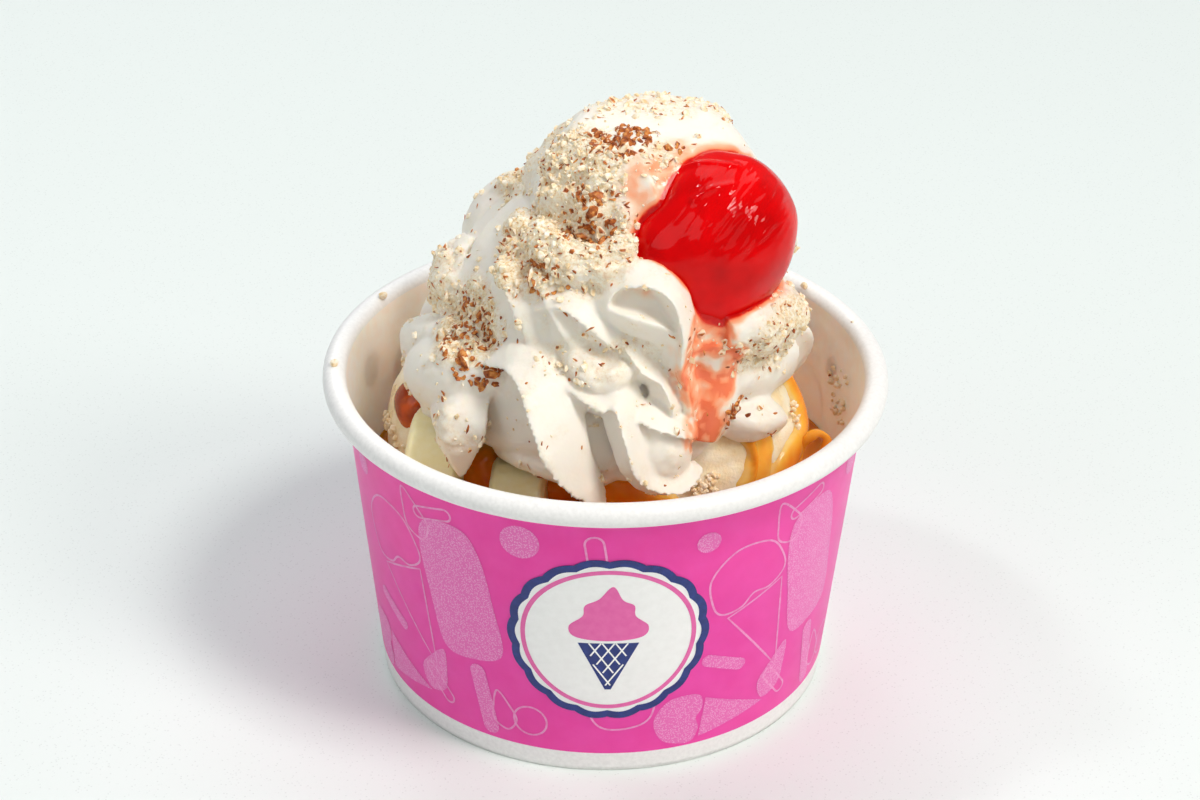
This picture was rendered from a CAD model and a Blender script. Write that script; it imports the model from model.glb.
import math
import random

import bmesh
import bpy
import numpy as np
from mathutils import Matrix, Quaternion, Vector, noise
from mathutils.geometry import tessellate_polygon


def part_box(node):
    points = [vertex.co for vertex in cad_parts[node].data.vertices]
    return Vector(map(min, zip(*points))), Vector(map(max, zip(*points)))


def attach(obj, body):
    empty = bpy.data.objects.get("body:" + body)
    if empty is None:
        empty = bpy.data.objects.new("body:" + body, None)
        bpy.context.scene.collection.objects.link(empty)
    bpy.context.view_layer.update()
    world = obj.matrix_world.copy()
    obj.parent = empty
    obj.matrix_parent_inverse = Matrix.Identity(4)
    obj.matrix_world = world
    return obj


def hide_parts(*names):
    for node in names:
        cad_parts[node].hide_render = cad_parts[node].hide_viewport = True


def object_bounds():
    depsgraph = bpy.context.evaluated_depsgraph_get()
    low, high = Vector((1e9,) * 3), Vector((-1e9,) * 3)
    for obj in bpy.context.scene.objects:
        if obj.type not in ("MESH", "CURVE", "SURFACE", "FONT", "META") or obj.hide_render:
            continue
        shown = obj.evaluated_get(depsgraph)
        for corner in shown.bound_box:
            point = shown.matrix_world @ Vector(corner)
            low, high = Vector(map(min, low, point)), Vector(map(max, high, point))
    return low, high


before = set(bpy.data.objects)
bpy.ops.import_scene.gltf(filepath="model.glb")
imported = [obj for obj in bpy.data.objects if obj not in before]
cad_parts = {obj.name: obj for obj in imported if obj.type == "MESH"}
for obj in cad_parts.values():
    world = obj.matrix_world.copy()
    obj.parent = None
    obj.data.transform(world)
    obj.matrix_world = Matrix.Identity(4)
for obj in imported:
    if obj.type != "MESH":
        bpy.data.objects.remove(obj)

CAD_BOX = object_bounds()
MM = 0.001  # sizes below are in millimetres, meshes in metres
noise.seed_set(7)  # unseeded, noise_vector changes with the time of day


# Paper cup: polyethylene-coated paperboard, formed from a tapered blank with one lap seam, its top
# edge rolled outwards into a bead and its base disc crimped up inside a standing ring.
CUP_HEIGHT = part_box("paper_cup")[1][2] / MM
RIM_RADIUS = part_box("paper_cup")[1][0] / MM
BEAD = 2.0
BASE_RADIUS = 38.3
NECK_RADIUS = 43.9
WALL = 0.6
FLOOR = 5.0
PRINT_LOW = 3.9  # the bare band under the print
PRINT_HIGH = CUP_HEIGHT - 2 * BEAD


def linear(colour):
    """sRGB hex, such as "e060a0", as a linear RGBA tuple."""
    parts = [int(colour[i : i + 2], 16) / 255 for i in (0, 2, 4)]
    return (*[c / 12.92 if c <= 0.04045 else ((c + 0.055) / 1.055) ** 2.4 for c in parts], 1.0)


def feed(node, inputs):
    """Give a node its inputs: a node or a socket is linked, and any other value is set."""
    for key, value in inputs.items():
        if isinstance(value, bpy.types.Node):
            value = value.outputs[0]
        if isinstance(value, bpy.types.NodeSocket):
            node.id_data.links.new(value, node.inputs[key])
        else:
            node.inputs[key].default_value = value


def add(tree, kind, inputs, stops=(), **settings):
    """Add a node with its inputs, its settings and, on a colour ramp, its (position, hex) stops."""
    node = tree.nodes.new(kind)
    for key, value in settings.items():
        setattr(node, key, value)
    feed(node, inputs)
    if stops:
        bands = node.color_ramp.elements
        while len(bands) < len(stops):
            bands.new(0.5)
        for band, (position, colour) in zip(bands, stops):
            band.position, band.color = position, linear(colour)
    return node


def material(name, colour, roughness, **shader_values):
    """A material whose shader has these values; returns it with its tree and shader."""
    mat = bpy.data.materials.new(name)
    mat.use_nodes = True
    shader = mat.node_tree.nodes["Principled BSDF"]
    feed(shader, {"Base Color": linear(colour), "Roughness": roughness})
    feed(shader, {key.replace("_", " "): value for key, value in shader_values.items()})
    return mat, mat.node_tree, shader


def place(tree):
    """Object coordinates in millimetres: a pattern's Scale is 1 over its size in millimetres."""
    coords = add(tree, "ShaderNodeTexCoord", {})
    return add(tree, "ShaderNodeMapping", {0: coords.outputs["Object"], 3: [1 / MM] * 3})


def finished(name, mesh, node=None, smooth=True):
    """Link a finished piece, put it on the frame and, where it stands for a CAD node, say so."""
    ob = bpy.data.objects.new(name, mesh)
    bpy.context.scene.collection.objects.link(ob)
    if smooth:
        mesh.shade_smooth()
    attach(ob, "root")
    if node:
        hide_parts(node)
    return ob


def skin(rings, close_ends=True, wrap=True):
    """A bmesh through rings of points in millimetres, each closed on itself unless wrap is off."""
    bm = bmesh.new()
    rows = [[bm.verts.new(Vector(p) * MM) for p in ring] for ring in rings]
    count = len(rows[0])
    for low, high in zip(rows, rows[1:]):
        for i in range(count if wrap else count - 1):
            k = (i + 1) % count
            bm.faces.new((low[i], low[k], high[k], high[i]))
    if close_ends:
        bm.faces.new(rows[0])
        bm.faces.new(rows[-1])
    return bm


def to_mesh(name, bm, mats=(), outward=True):
    """A mesh with these materials from a bmesh, which it uses up."""
    if outward:
        bmesh.ops.recalc_face_normals(bm, faces=bm.faces)
    mesh = bpy.data.meshes.new(name)
    bm.to_mesh(mesh)
    bm.free()
    for mat in mats:
        mesh.materials.append(mat)
    return mesh


def outer_radius(z):
    """The radius of the wall's outside at a height."""
    return BASE_RADIUS + (NECK_RADIUS - BASE_RADIUS) * z / PRINT_HIGH


def arc(centre_r, centre_z, radius, first, last, steps):
    """(radius, height) points on an arc of the outline, from one angle to another."""
    for i in range(steps + 1):
        a = math.radians(first + (last - first) * i / steps)
        yield centre_r + radius * math.cos(a), centre_z + radius * math.sin(a)


def turned(outline, sides=256):
    """Rings round the Z axis, one for each (radius, height) point."""
    angles = [math.tau * i / sides for i in range(sides)]
    return [[(r * math.cos(a), r * math.sin(a), z) for a in angles] for r, z in outline]


# coated paperboard, machine calendered: white, faintly fibrous, with a soft sheen from its coating
paper, tree, shader = material("coated white paperboard", "f6f4f2", 0.42, IOR=1.5)
fibre = add(tree, "ShaderNodeTexNoise", {"Vector": place(tree), "Scale": 1.6, "Detail": 4.0})
tone = add(tree, "ShaderNodeValToRGB", {0: fibre}, stops=[(0.3, "efedeb"), (0.7, "faf8f6")])
bump = add(tree, "ShaderNodeBump", {"Strength": 0.15, "Distance": 0.05 * MM, "Height": fibre})
feed(shader, {"Base Color": tone, "Normal": bump})

# the same board on the cup's inside, where the pulp shows warmer through a thinner coating
lining, tree, shader = material(
    "coated paperboard lining", "fdf1e6", 0.5, IOR=1.5,
    Subsurface_Weight=0.7, Subsurface_Radius=(1.0, 0.75, 0.6), Subsurface_Scale=2 * MM,
)
fibre = add(tree, "ShaderNodeTexNoise", {"Vector": place(tree), "Scale": 0.5, "Detail": 5.0})
tone = add(tree, "ShaderNodeValToRGB", {0: fibre}, stops=[(0.3, "fff0e4"), (0.7, "fff8f0")])
feed(shader, {"Base Color": tone})

# the same board, offset printed in pink: flat colour with a little mottle, and a soft gloss varnish
printed, tree, shader = material(
    "pink printed paperboard", "ea3a9a", 0.36, IOR=1.5, Specular_IOR_Level=0.3,
    Subsurface_Weight=0.3, Subsurface_Radius=(1.0, 0.6, 0.6), Subsurface_Scale=1.5 * MM,
)
mottle = add(tree, "ShaderNodeTexNoise", {"Vector": place(tree), "Scale": 0.25, "Detail": 6.0})
tone = add(tree, "ShaderNodeValToRGB", {0: mottle}, stops=[(0.3, "f642a8"), (0.7, "fa4cb0")])
bump = add(tree, "ShaderNodeBump", {"Strength": 0.1, "Distance": 0.05 * MM, "Height": mottle})
feed(shader, {"Base Color": tone, "Normal": bump})

bead_r, bead_z = RIM_RADIUS - BEAD, CUP_HEIGHT - BEAD
neck = bead_z - BEAD - 0.1
outline = [(0.01, FLOOR + WALL), (outer_radius(FLOOR) - WALL - 1.5, FLOOR + WALL)]
outline += arc(outer_radius(FLOOR) - WALL - 1.4, FLOOR + WALL + 1.4, 1.4, -90, 0, 5)
outline += [(outer_radius(z) - WALL, z) for z in (15, 25, 35, 45, 53)]
outline += arc(bead_r, bead_z, BEAD, 170, -100, 28)
outline += [(outer_radius(z), z) for z in np.linspace(neck, PRINT_LOW, 24)]
outline += [(outer_radius(z), z) for z in (3.0, 1.0, 0.3)]
outline += arc(BASE_RADIUS - 0.3, 0.3, 0.3, 0, -90, 3)
outline += [(BASE_RADIUS - 1.0, 0), (BASE_RADIUS - 1.0, 1.0)]
outline += [(outer_radius(FLOOR) - 1.0, FLOOR), (0.01, FLOOR)]
bm = skin(turned(outline))
for face in bm.faces:
    middle = face.calc_center_median() / MM
    inset = outer_radius(middle.z) - math.hypot(middle.x, middle.y)
    if abs(inset) < 0.1 and PRINT_LOW < middle.z < neck and len(face.verts) == 4:
        face.material_index = 1
    elif inset > 0.5 and FLOOR + WALL - 0.01 < middle.z < bead_z:
        face.material_index = 2
finished("cup", to_mesh("cup", bm, (paper, printed, lining)), "paper_cup")

# Lap seam: the blank's outer edge glued over its inner one, a low step down the back of the wall.
SEAM_AZIMUTH, LAP = 104, 10  # degrees
STEP = 0.14
across = [math.radians(SEAM_AZIMUTH + turn) for turn in np.linspace(0, LAP, 12)]
heights = [(0.4, 0.02), (0.45, STEP), *[(z, STEP) for z in np.linspace(2, neck - 1.5, 20)], (neck - 1, 0.02)]
rings = [
    [((outer_radius(z) + lift) * math.cos(a), (outer_radius(z) + lift) * math.sin(a), z) for a in across]
    for z, lift in heights
]
bm = skin(rings, close_ends=False, wrap=False)
rim = bmesh.ops.extrude_face_region(bm, geom=bm.faces[:])
for vert in [v for v in rim["geom"] if isinstance(v, bmesh.types.BMVert)]:
    inward = Vector((vert.co.x, vert.co.y, 0)).normalized()
    vert.co -= inward * 0.3 * MM
for face in bm.faces:
    face.material_index = 1 if PRINT_LOW < face.calc_center_median().z / MM else 0
finished("cup_seam", to_mesh("cup_seam", bm, (paper, printed)), smooth=False)


# Printing on the wall: pale ink over the pink, in a free pattern of ices, cones and drops, some
# filled with a fine stipple and some drawn in line, and a white scalloped badge at the front.
INK = 0.045  # how far the ink stands off the board, so that it doesn't fight with it
LINE = 0.36
MID_RADIUS = outer_radius(28)


def on_wall(u, v, lift=INK):
    """Print coordinates, millimetres round from the front and up from the table, as a point on the wall."""
    a = -math.pi / 2 + u / MID_RADIUS
    r = outer_radius(v) + lift
    return Vector((r * math.cos(a), r * math.sin(a), v))


def between(a, b, c, d, t):
    """The smooth curve from b, where t is 0, to c, with a before them and d after."""
    return 0.5 * (2 * b + (c - a) * t + (2 * a - 5 * b + 4 * c - d) * t**2 + (3 * b - a - 3 * c + d) * t**3)


def smooth_loop(points, steps=8):
    """A closed smooth curve through 2-D points."""
    p = np.repeat(np.array(points, float), steps, axis=0)
    t = np.tile(np.arange(steps) / steps, len(points))[:, None]
    before, after, further = (np.roll(p, k * steps, axis=0) for k in (1, -1, -2))
    return between(before, p, after, further, t)


def circle(radius, steps=40, lobes=0, depth=0.0):
    """A circle, or a scalloped one whose lobes stand out by depth times its radius."""
    a = np.arange(steps) * math.tau / steps
    r = radius * (1 + depth * np.abs(np.cos(a * lobes / 2))) if lobes else radius
    return np.column_stack([r * np.cos(a), r * np.sin(a)])


def capsule(length, radius, steps=10):
    """A bar with round ends."""
    half = np.linspace(0, math.pi, steps)
    top = [(radius * math.cos(a), length / 2 + radius * math.sin(a)) for a in half]
    bottom = [(-x, -y) for x, y in top]
    return np.array(top + bottom)


def posed(loop, u, v, turn=0.0, scale=1.0):
    """An outline scaled, turned by some degrees and moved to its place in the print."""
    c, s = math.cos(math.radians(turn)), math.sin(math.radians(turn))
    x, y = loop[:, 0] * scale, loop[:, 1] * scale
    return np.column_stack([u + c * x - s * y, v + s * x + c * y])


def inked(bm, verts, ink):
    """A face of ink, turned outwards."""
    face = bm.faces.new(verts)
    face.material_index = ink
    face.normal_update()
    out = face.calc_center_median()
    if face.normal.dot(Vector((out.x, out.y, 0))) < 0:
        face.normal_flip()


def filled(bm, loop, ink, lift=INK):
    """Fill a print outline, cut fine enough to follow the round wall."""
    flat = bmesh.new()
    corners = [flat.verts.new((x, y, 0)) for x, y in loop]
    for tri in tessellate_polygon([[Vector((x, y, 0)) for x, y in loop]]):
        flat.faces.new([corners[i] for i in tri])
    while True:
        long_edges = [e for e in flat.edges if e.calc_length() > 2.6]
        if not long_edges:
            break
        bmesh.ops.subdivide_edges(flat, edges=long_edges, cuts=1)
        bmesh.ops.triangulate(flat, faces=flat.faces)
    made = {v: bm.verts.new(on_wall(v.co.x, v.co.y, lift) * MM) for v in flat.verts}
    for face in flat.faces:
        inked(bm, [made[v] for v in face.verts], ink)
    flat.free()


def drawn(bm, loop, ink, width=LINE, closed=True, lift=INK):
    """Draw a print outline as a line of even width."""
    p = np.asarray(loop, float)
    ahead = np.roll(p, -1, axis=0) - p
    behind = p - np.roll(p, 1, axis=0)
    if not closed:
        ahead[-1], behind[0] = behind[-1], ahead[0]
    ahead /= np.linalg.norm(ahead, axis=1)[:, None] + 1e-9
    behind /= np.linalg.norm(behind, axis=1)[:, None] + 1e-9
    along = ahead + behind
    along /= np.linalg.norm(along, axis=1)[:, None] + 1e-9
    across = np.column_stack([-along[:, 1], along[:, 0]]) * width / 2
    left = [bm.verts.new(on_wall(*q, lift) * MM) for q in p + across]
    right = [bm.verts.new(on_wall(*q, lift) * MM) for q in p - across]
    for i in range(len(p) if closed else len(p) - 1):
        k = (i + 1) % len(p)
        inked(bm, (left[i], right[i], right[k], left[k]), ink)


LOLLY = (
    smooth_loop([
        (-4.2, -7), (-4.6, 0), (-4.4, 7), (-2.6, 10.6), (2.6, 10.6),
        (4.4, 7), (4.6, 0), (4.2, -7), (0, -8.2),
    ]),
    capsule(8.0, 1.1) - [0, 14.0],
)
CORNET = (
    smooth_loop([
        (-5.2, 0), (-5.8, 2.4), (-4.6, 6.6), (0, 8.8), (4.6, 6.6), (5.8, 2.4), (5.2, 0),
        (2.4, -0.8), (0, 0.1), (-2.4, -0.8),
    ]),
    np.array([(-4.6, -1.2), (0, -16), (4.6, -1.2)]),
)
DROP = (smooth_loop([(0, 4.2), (1.5, 1.2), (2.0, -1.4), (0, -3.2), (-2.0, -1.4), (-1.5, 1.2)]),)

# pale ink laid as a fine stipple, its dots 0.3 mm apart
stipple, tree, shader = material("stippled pale pink ink", "f288c4", 0.4)
dots = add(tree, "ShaderNodeTexVoronoi", {"Vector": place(tree), "Scale": 1 / 0.3, "Randomness": 1.0})
tone = add(tree, "ShaderNodeValToRGB", {0: dots}, stops=[(0.2, "f8a8d6"), (0.5, "f06cba")])
feed(shader, {"Base Color": tone})
# solid pale ink of the line drawings, slightly uneven as thin printed line is
line_ink, tree, shader = material("pale pink line ink", "f08cc6", 0.4)
wear = add(tree, "ShaderNodeTexNoise", {"Vector": place(tree), "Scale": 1.2})
tone = add(tree, "ShaderNodeValToRGB", {0: wear}, stops=[(0.35, "f484c2"), (0.6, "f8a0d2")])
feed(shader, {"Base Color": tone})
# the badge's opaque white, blue and rose inks, each with the faint mottle of offset print
inks = []
for name, low, high in (
    ("opaque white ink", "f8f7f5", "fdfcfa"),
    ("blue ink", "182a70", "203684"),
    ("rose ink", "ea62aa", "ee6cb0"),
):
    ink, tree, shader = material(name, high, 0.38)
    wear = add(tree, "ShaderNodeTexNoise", {"Vector": place(tree), "Scale": 0.8, "Detail": 4.0})
    tone = add(tree, "ShaderNodeValToRGB", {0: wear}, stops=[(0.35, low), (0.65, high)])
    feed(shader, {"Base Color": tone})
    inks.append(ink)
STIPPLE, PALE, WHITE, BLUE, ROSE = range(5)

bm = bmesh.new()
REPEATS = 4
PITCH = math.tau * MID_RADIUS / REPEATS
MOTIFS = [
    # outlines, ink, place in the repeat, turn in degrees, scale
    (LOLLY, STIPPLE, -24.5, 31, 10, 1.4),
    (CORNET, PALE, 26, 33, 22, 1.25),
    (LOLLY, PALE, 2, 24, 188, 1.35),
    (CORNET, STIPPLE, 17, 9.5, 84, 0.9),
    ((circle(3.2),), STIPPLE, -13, 47, 0, 1.0),
    ((circle(2.0),), STIPPLE, 16.5, 46.5, 0, 1.0),
    ((circle(3.0),), PALE, -12.5, 9.5, 0, 1.0),
    (DROP, STIPPLE, 33, 13, -24, 1.5),
    (DROP, PALE, -33, 44.5, 24, 1.3),
    (DROP, PALE, -17.5, 10, 12, 1.1),
    ((capsule(7.0, 1.2),), STIPPLE, 21.5, 20, 66, 1.0),
    ((capsule(6.0, 1.1),), PALE, 36, 47, 108, 1.0),
    ((capsule(6.0, 1.1),), PALE, -31, 11, 40, 1.0),
]
for k in range(REPEATS):
    for outlines, ink, u, v, turn, scale in MOTIFS:
        for loop in outlines:
            loop = posed(loop, k * PITCH + u, v, turn, scale)
            loop[:, 1] = np.clip(loop[:, 1], PRINT_LOW + 0.3, neck - 0.3)
            if ink == STIPPLE:
                filled(bm, loop, ink)
            else:
                sides = zip(loop, np.roll(loop, -1, axis=0))
                drawn(bm, np.concatenate([np.linspace(a, b, 5)[:-1] for a, b in sides]), ink)

# the badge: a scalloped disc with two borders, and on it a swirl of ice cream in a wafer cone
BADGE_U, BADGE_V, BADGE_RADIUS = 1.0, 28.4, 16.2
LOBES, LOBE_DEPTH = 18, 0.035
MIDDLE_INK, TOP_INK = INK + 0.06, INK + 0.09
scallops, border, inner = (
    posed(loop, BADGE_U, BADGE_V)
    for loop in (
        circle(BADGE_RADIUS, 144, LOBES, LOBE_DEPTH),
        circle(BADGE_RADIUS - 0.6, 144, LOBES, LOBE_DEPTH),
        circle(BADGE_RADIUS - 2.1, 96),
    )
)
filled(bm, scallops, WHITE, INK + 0.03)
drawn(bm, border, BLUE, 1.4, lift=MIDDLE_INK)
drawn(bm, inner, ROSE, 0.8, lift=MIDDLE_INK)
swirled = smooth_loop([
    (-5.4, 0), (-6.4, 2.2), (-4.2, 4.4), (-3.8, 6.6), (-1.6, 8.0), (0.6, 10.6),
    (2.2, 7.8), (4.0, 6.6), (4.3, 4.4), (6.4, 2.2), (5.4, 0), (0, -0.7),
])
filled(bm, posed(swirled, BADGE_U, BADGE_V + 0.6), ROSE, MIDDLE_INK)
wafer = np.array([(-5.0, -0.6), (5.0, -0.6), (0.5, -10.4), (-0.5, -10.4)])
filled(bm, posed(wafer, BADGE_U, BADGE_V), BLUE, MIDDLE_INK)
for turn in (-1, 1):
    for k in range(-3, 4):
        line = np.linspace((k * 2.2 - turn * 3.2, -0.6), (k * 2.2 + turn * 3.2, -10.4), 12)
        inside = [q for q in line if abs(q[0]) < 4.6 * (10.9 + q[1]) / 10.3]
        if len(inside) > 2:
            drawn(bm, np.array(inside) + [BADGE_U, BADGE_V], WHITE, 0.28, closed=False, lift=TOP_INK)
print_mesh = to_mesh("cup_print", bm, (stipple, line_ink, *inks), outward=False)
finished("cup_print", print_mesh)


# Vanilla ice cream: two balls scooped from a tub, standing in the fill below them. Their skin is
# dragged and pitted by the scoop, and starts to melt where it meets the caramel.
FILL_TOP = 31.0
SPLIT_X = -2.0
RIGHT_BALL, RIGHT_RADIUS = Vector((13.0, -4.0, 46.0)), 20.5
LEFT_BALL, LEFT_RADIUS = Vector((-17.5, 6.0, 40.0)), 20.0
SAUCE_TOP = 34.0

# aerated dairy ice cream: pale custard colour, light spreading under the skin, thinly wet in places
vanilla, tree, shader = material(
    "vanilla ice cream", "f6e3b8", 0.4, IOR=1.4,
    Subsurface_Weight=0.35, Subsurface_Radius=(1.0, 0.75, 0.45), Subsurface_Scale=3 * MM,
)
coords = place(tree)
cloud = add(tree, "ShaderNodeTexNoise", {"Vector": coords, "Scale": 0.22, "Detail": 5.0})
tone = add(tree, "ShaderNodeValToRGB", {0: cloud}, stops=[(0.3, "f8dcaa"), (0.5, "fcebca"), (0.7, "fff6e2")])
grain = add(tree, "ShaderNodeTexNoise", {"Vector": coords, "Scale": 2.2, "Detail": 3.0})
bump = add(tree, "ShaderNodeBump", {"Strength": 0.5, "Distance": 0.25 * MM, "Height": grain})
wet = add(tree, "ShaderNodeMapRange", {0: cloud, 1: 0.35, 2: 0.65, 3: 0.22, 4: 0.5})
feed(shader, {"Base Color": tone, "Normal": bump, "Roughness": wet})


def scooped(name, centre, radius, low_x, high_x, node, seed):
    """A scooped ball with a dragged, pitted skin, over its half of the fill."""
    bm = bmesh.new()
    bmesh.ops.create_icosphere(bm, subdivisions=6, radius=1.0)
    shift = Vector((seed, seed * 2, 0))
    for vert in bm.verts:
        way = vert.co.normalized()
        drag = noise.noise(Vector((way.x * 1.5, way.y * 1.5, way.z * 9)) + shift)
        pit = abs(noise.noise(way * 7 + shift)) + 0.5 * abs(noise.noise(way * 15 + shift))
        r = radius + 0.35 * drag - 0.55 * max(0.0, 0.35 - pit) + 0.25 * noise.noise(way * 3 + shift)
        vert.co = (centre + way * r) * MM
    low = FLOOR + WALL + 0.3
    half = 96
    rings = []
    for z in (low, FILL_TOP):
        r = outer_radius(z) - WALL - 0.3
        ring = []
        for i in range(half):
            a = math.tau * i / half
            x = min(max(r * math.cos(a), low_x), high_x)
            ring.append((x, r * math.sin(a), z))
        rings.append(ring)
    fill = skin(rings)
    bmesh.ops.remove_doubles(fill, verts=fill.verts, dist=1e-7)
    fill_mesh = to_mesh("fill", fill)
    bm.from_mesh(fill_mesh)
    bpy.data.meshes.remove(fill_mesh)
    finished(name, to_mesh(name, bm, (vanilla,)), node)


scooped("vanilla_right", RIGHT_BALL, RIGHT_RADIUS, SPLIT_X + 0.15, 60, "ice_cream_right", 3)
scooped("vanilla_left", LEFT_BALL, LEFT_RADIUS, -60, SPLIT_X - 0.15, "ice_cream_left", 8)


# Banana: peeled and sliced into thick coins, pushed in on edge round the front. The cut faces show
# three seed chambers with specks, and the outside keeps the faint length-wise ribs of the fruit.
BANANA_RADIUS = 12.0
BANANA_THICKNESS = 8.6
BANANAS = (
    ("banana_slice_1", Vector((-27.3, -13.5, 41.6)), -8),
    ("banana_slice_2", Vector((-14.0, -20.5, 36.5)), -4),
)

# ripe banana flesh: pale yellow, moist and faintly translucent, paler at the rim than in the middle
fruit, tree, shader = material(
    "banana flesh", "f5e7ae", 0.34, IOR=1.4,
    Subsurface_Weight=0.4, Subsurface_Radius=(1.0, 0.85, 0.4), Subsurface_Scale=3 * MM,
)
uv = add(tree, "ShaderNodeUVMap", {}, uv_map="slice")
reach = add(tree, "ShaderNodeVectorMath", {0: uv}, operation="LENGTH")
chamber = add(
    tree, "ShaderNodeValToRGB", {0: reach.outputs["Value"]},
    stops=[
        (0.0, "e6cf86"), (0.12, "efdc9c"), (0.34, "f3e6b4"),
        (0.42, "eddb98"), (0.8, "f6edc6"), (1.0, "efe0a0"),
    ],
)
streak = add(tree, "ShaderNodeTexNoise", {"Vector": place(tree), "Scale": 0.9, "Detail": 5.0})
blend = add(tree, "ShaderNodeMix", {0: streak, 6: chamber, 7: linear("f8f0cf")}, data_type="RGBA")
seeds = add(tree, "ShaderNodeTexVoronoi", {"Vector": uv, "Scale": 7.0})
speck = add(tree, "ShaderNodeMapRange", {0: seeds, 1: 0.1, 2: 0.18, 3: 1.0, 4: 0.0})
middle = add(tree, "ShaderNodeMapRange", {0: reach.outputs["Value"], 1: 0.36, 2: 0.44, 3: 0.75, 4: 0.0})
speckled = add(tree, "ShaderNodeMath", {0: speck, 1: middle}, operation="MULTIPLY")
colour = add(
    tree, "ShaderNodeMix", {0: speckled, 6: blend.outputs[2], 7: linear("7a5a34")}, data_type="RGBA"
)
bump = add(tree, "ShaderNodeBump", {"Strength": 0.35, "Distance": 0.2 * MM, "Height": streak})
feed(shader, {"Base Color": colour.outputs[2], "Normal": bump})

for k, (name, centre, turn) in enumerate(BANANAS):
    half = BANANA_THICKNESS / 2
    profile = [(r, half - 0.25 * math.sin(r)) for r in np.linspace(0.02, BANANA_RADIUS - 1.0, 26)]
    profile += arc(BANANA_RADIUS - 0.9, half - 0.9, 0.9, 80, 0, 6)
    profile += [(BANANA_RADIUS, h) for h in np.linspace(half - 1.4, -half + 1.4, 14)]
    profile += [(r, -h) for r, h in arc(BANANA_RADIUS - 0.9, half - 0.9, 0.9, 0, 80, 6)]
    profile += [(r, -half + 0.25 * math.sin(r)) for r in np.linspace(BANANA_RADIUS - 1.0, 0.02, 26)]
    rings = []
    for r, h in profile:
        ring = []
        for i in range(120):
            a = math.tau * i / 120
            rib = 1 - 0.012 * (1 + math.cos(5 * a + k)) - 0.004 * (1 + math.cos(31 * a))
            p = Vector((r * rib * math.cos(a), r * rib * math.sin(a), h))
            ring.append(p + noise.noise_vector(p * 0.6 + Vector((k * 9, 0, 0))) * 0.08)
        rings.append(ring)
    bm = skin(rings)
    layer = bm.loops.layers.uv.new("slice")
    for face in bm.faces:
        for loop in face.loops:
            loop[layer].uv = loop.vert.co.xy / MM / BANANA_RADIUS
    stand = Matrix.Rotation(math.radians(turn), 4, "Z") @ Matrix.Rotation(math.pi / 2, 4, "Y")
    bmesh.ops.transform(bm, verts=bm.verts, matrix=Matrix.Translation(centre * MM) @ stand)
    finished(f"{name}_flesh", to_mesh(name, bm, (fruit,)), name)


# Whipped cream: dairy cream piped in three rings through a star nozzle, the folds dragged and
# curled as the nozzle lifted, so its crests are thin and its valleys smooth.
LEAN = (0, 0, 1.2, 4.5, 6.5, 6.8)
MOUND = (
    (46, 29), (52, 30), (58, 31), (64, 29), (70, 26.5),
    (76, 26), (82, 25.5), (88, 21), (94, 20), (100, 14),
)
CHERRY, CHERRY_RADIUS = Vector((17.2, -12.6, 88.2)), 13.1
CHERRY_TIP = Vector((-0.85, -0.15, -0.5)).normalized()
CHERRY_FOOT = Vector((0.05, -0.5, -0.84)).normalized()
CHERRY_SHOULDER = Vector((-0.62, -0.2, 0.76)).normalized()
CREAM_FACE, CREAM_KEPT = 0.4, 0.62  # size of the fused skin's faces, and the share kept of them


def spline(knots, steps):
    """Smooth curve through evenly spaced knots, as rows of points."""
    k = np.asarray(knots, float)
    if len(k) == 1:
        return np.repeat(k, steps, axis=0)
    last = len(k) - 1
    x = np.linspace(0, last, steps)
    i = np.minimum(x.astype(int), last - 1)
    f = (x - i).reshape(-1, *[1] * (k.ndim - 1))
    a, b, c, d = k[np.maximum(i - 1, 0)], k[i], k[i + 1], k[np.minimum(i + 2, last)]
    return between(a, b, c, d, f)


def axis_x(z):
    """How far the mound's axis has leant to the right at a height."""
    return float(np.interp(z, np.linspace(48, 108, 61), spline(LEAN, 61)))


def swirl(outline, petals, turn, droop, sides=360, rows=90):
    """A piped ring: petals are (azimuth, reach, depth of the flute after it), wound by turn degrees a mm."""
    petals = sorted(petals)
    azimuth = np.array([p[0] for p in petals] + [petals[0][0] + 360.0])
    reach = np.array([p[1] for p in petals] + [petals[0][1]])
    depth = np.array([p[2] for p in petals])
    start_z = outline[0][1]
    theta = np.arange(sides) * 360.0 / sides
    rings = []
    for row, (radius, z) in enumerate(spline(outline, rows)):
        t = row / (rows - 1)
        a = (theta + turn * (z - start_z) - azimuth[0]) % 360 + azimuth[0]
        i = np.clip(np.searchsorted(azimuth, a, side="right") - 1, 0, len(depth) - 1)
        u = (a - azimuth[i]) / (azimuth[i + 1] - azimuth[i])
        flute = np.sin(np.pi * u**1.3) ** 0.7
        blend = 0.5 - 0.5 * np.cos(np.pi * u)
        fade = math.sin(math.pi * t) ** 0.5
        stretch = 1 + (reach[i] * (1 - blend) + reach[i + 1] * blend - 1) * fade
        r = radius * stretch * (1 - depth[i] * fade * flute)
        drop = droop * (1 - flute) * max(0.0, 1 - 2.2 * t)
        x = axis_x(z) + r * np.cos(np.radians(theta))
        rings.append(np.column_stack([x, r * np.sin(np.radians(theta)), z - drop]))
    return skin(rings)


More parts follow.
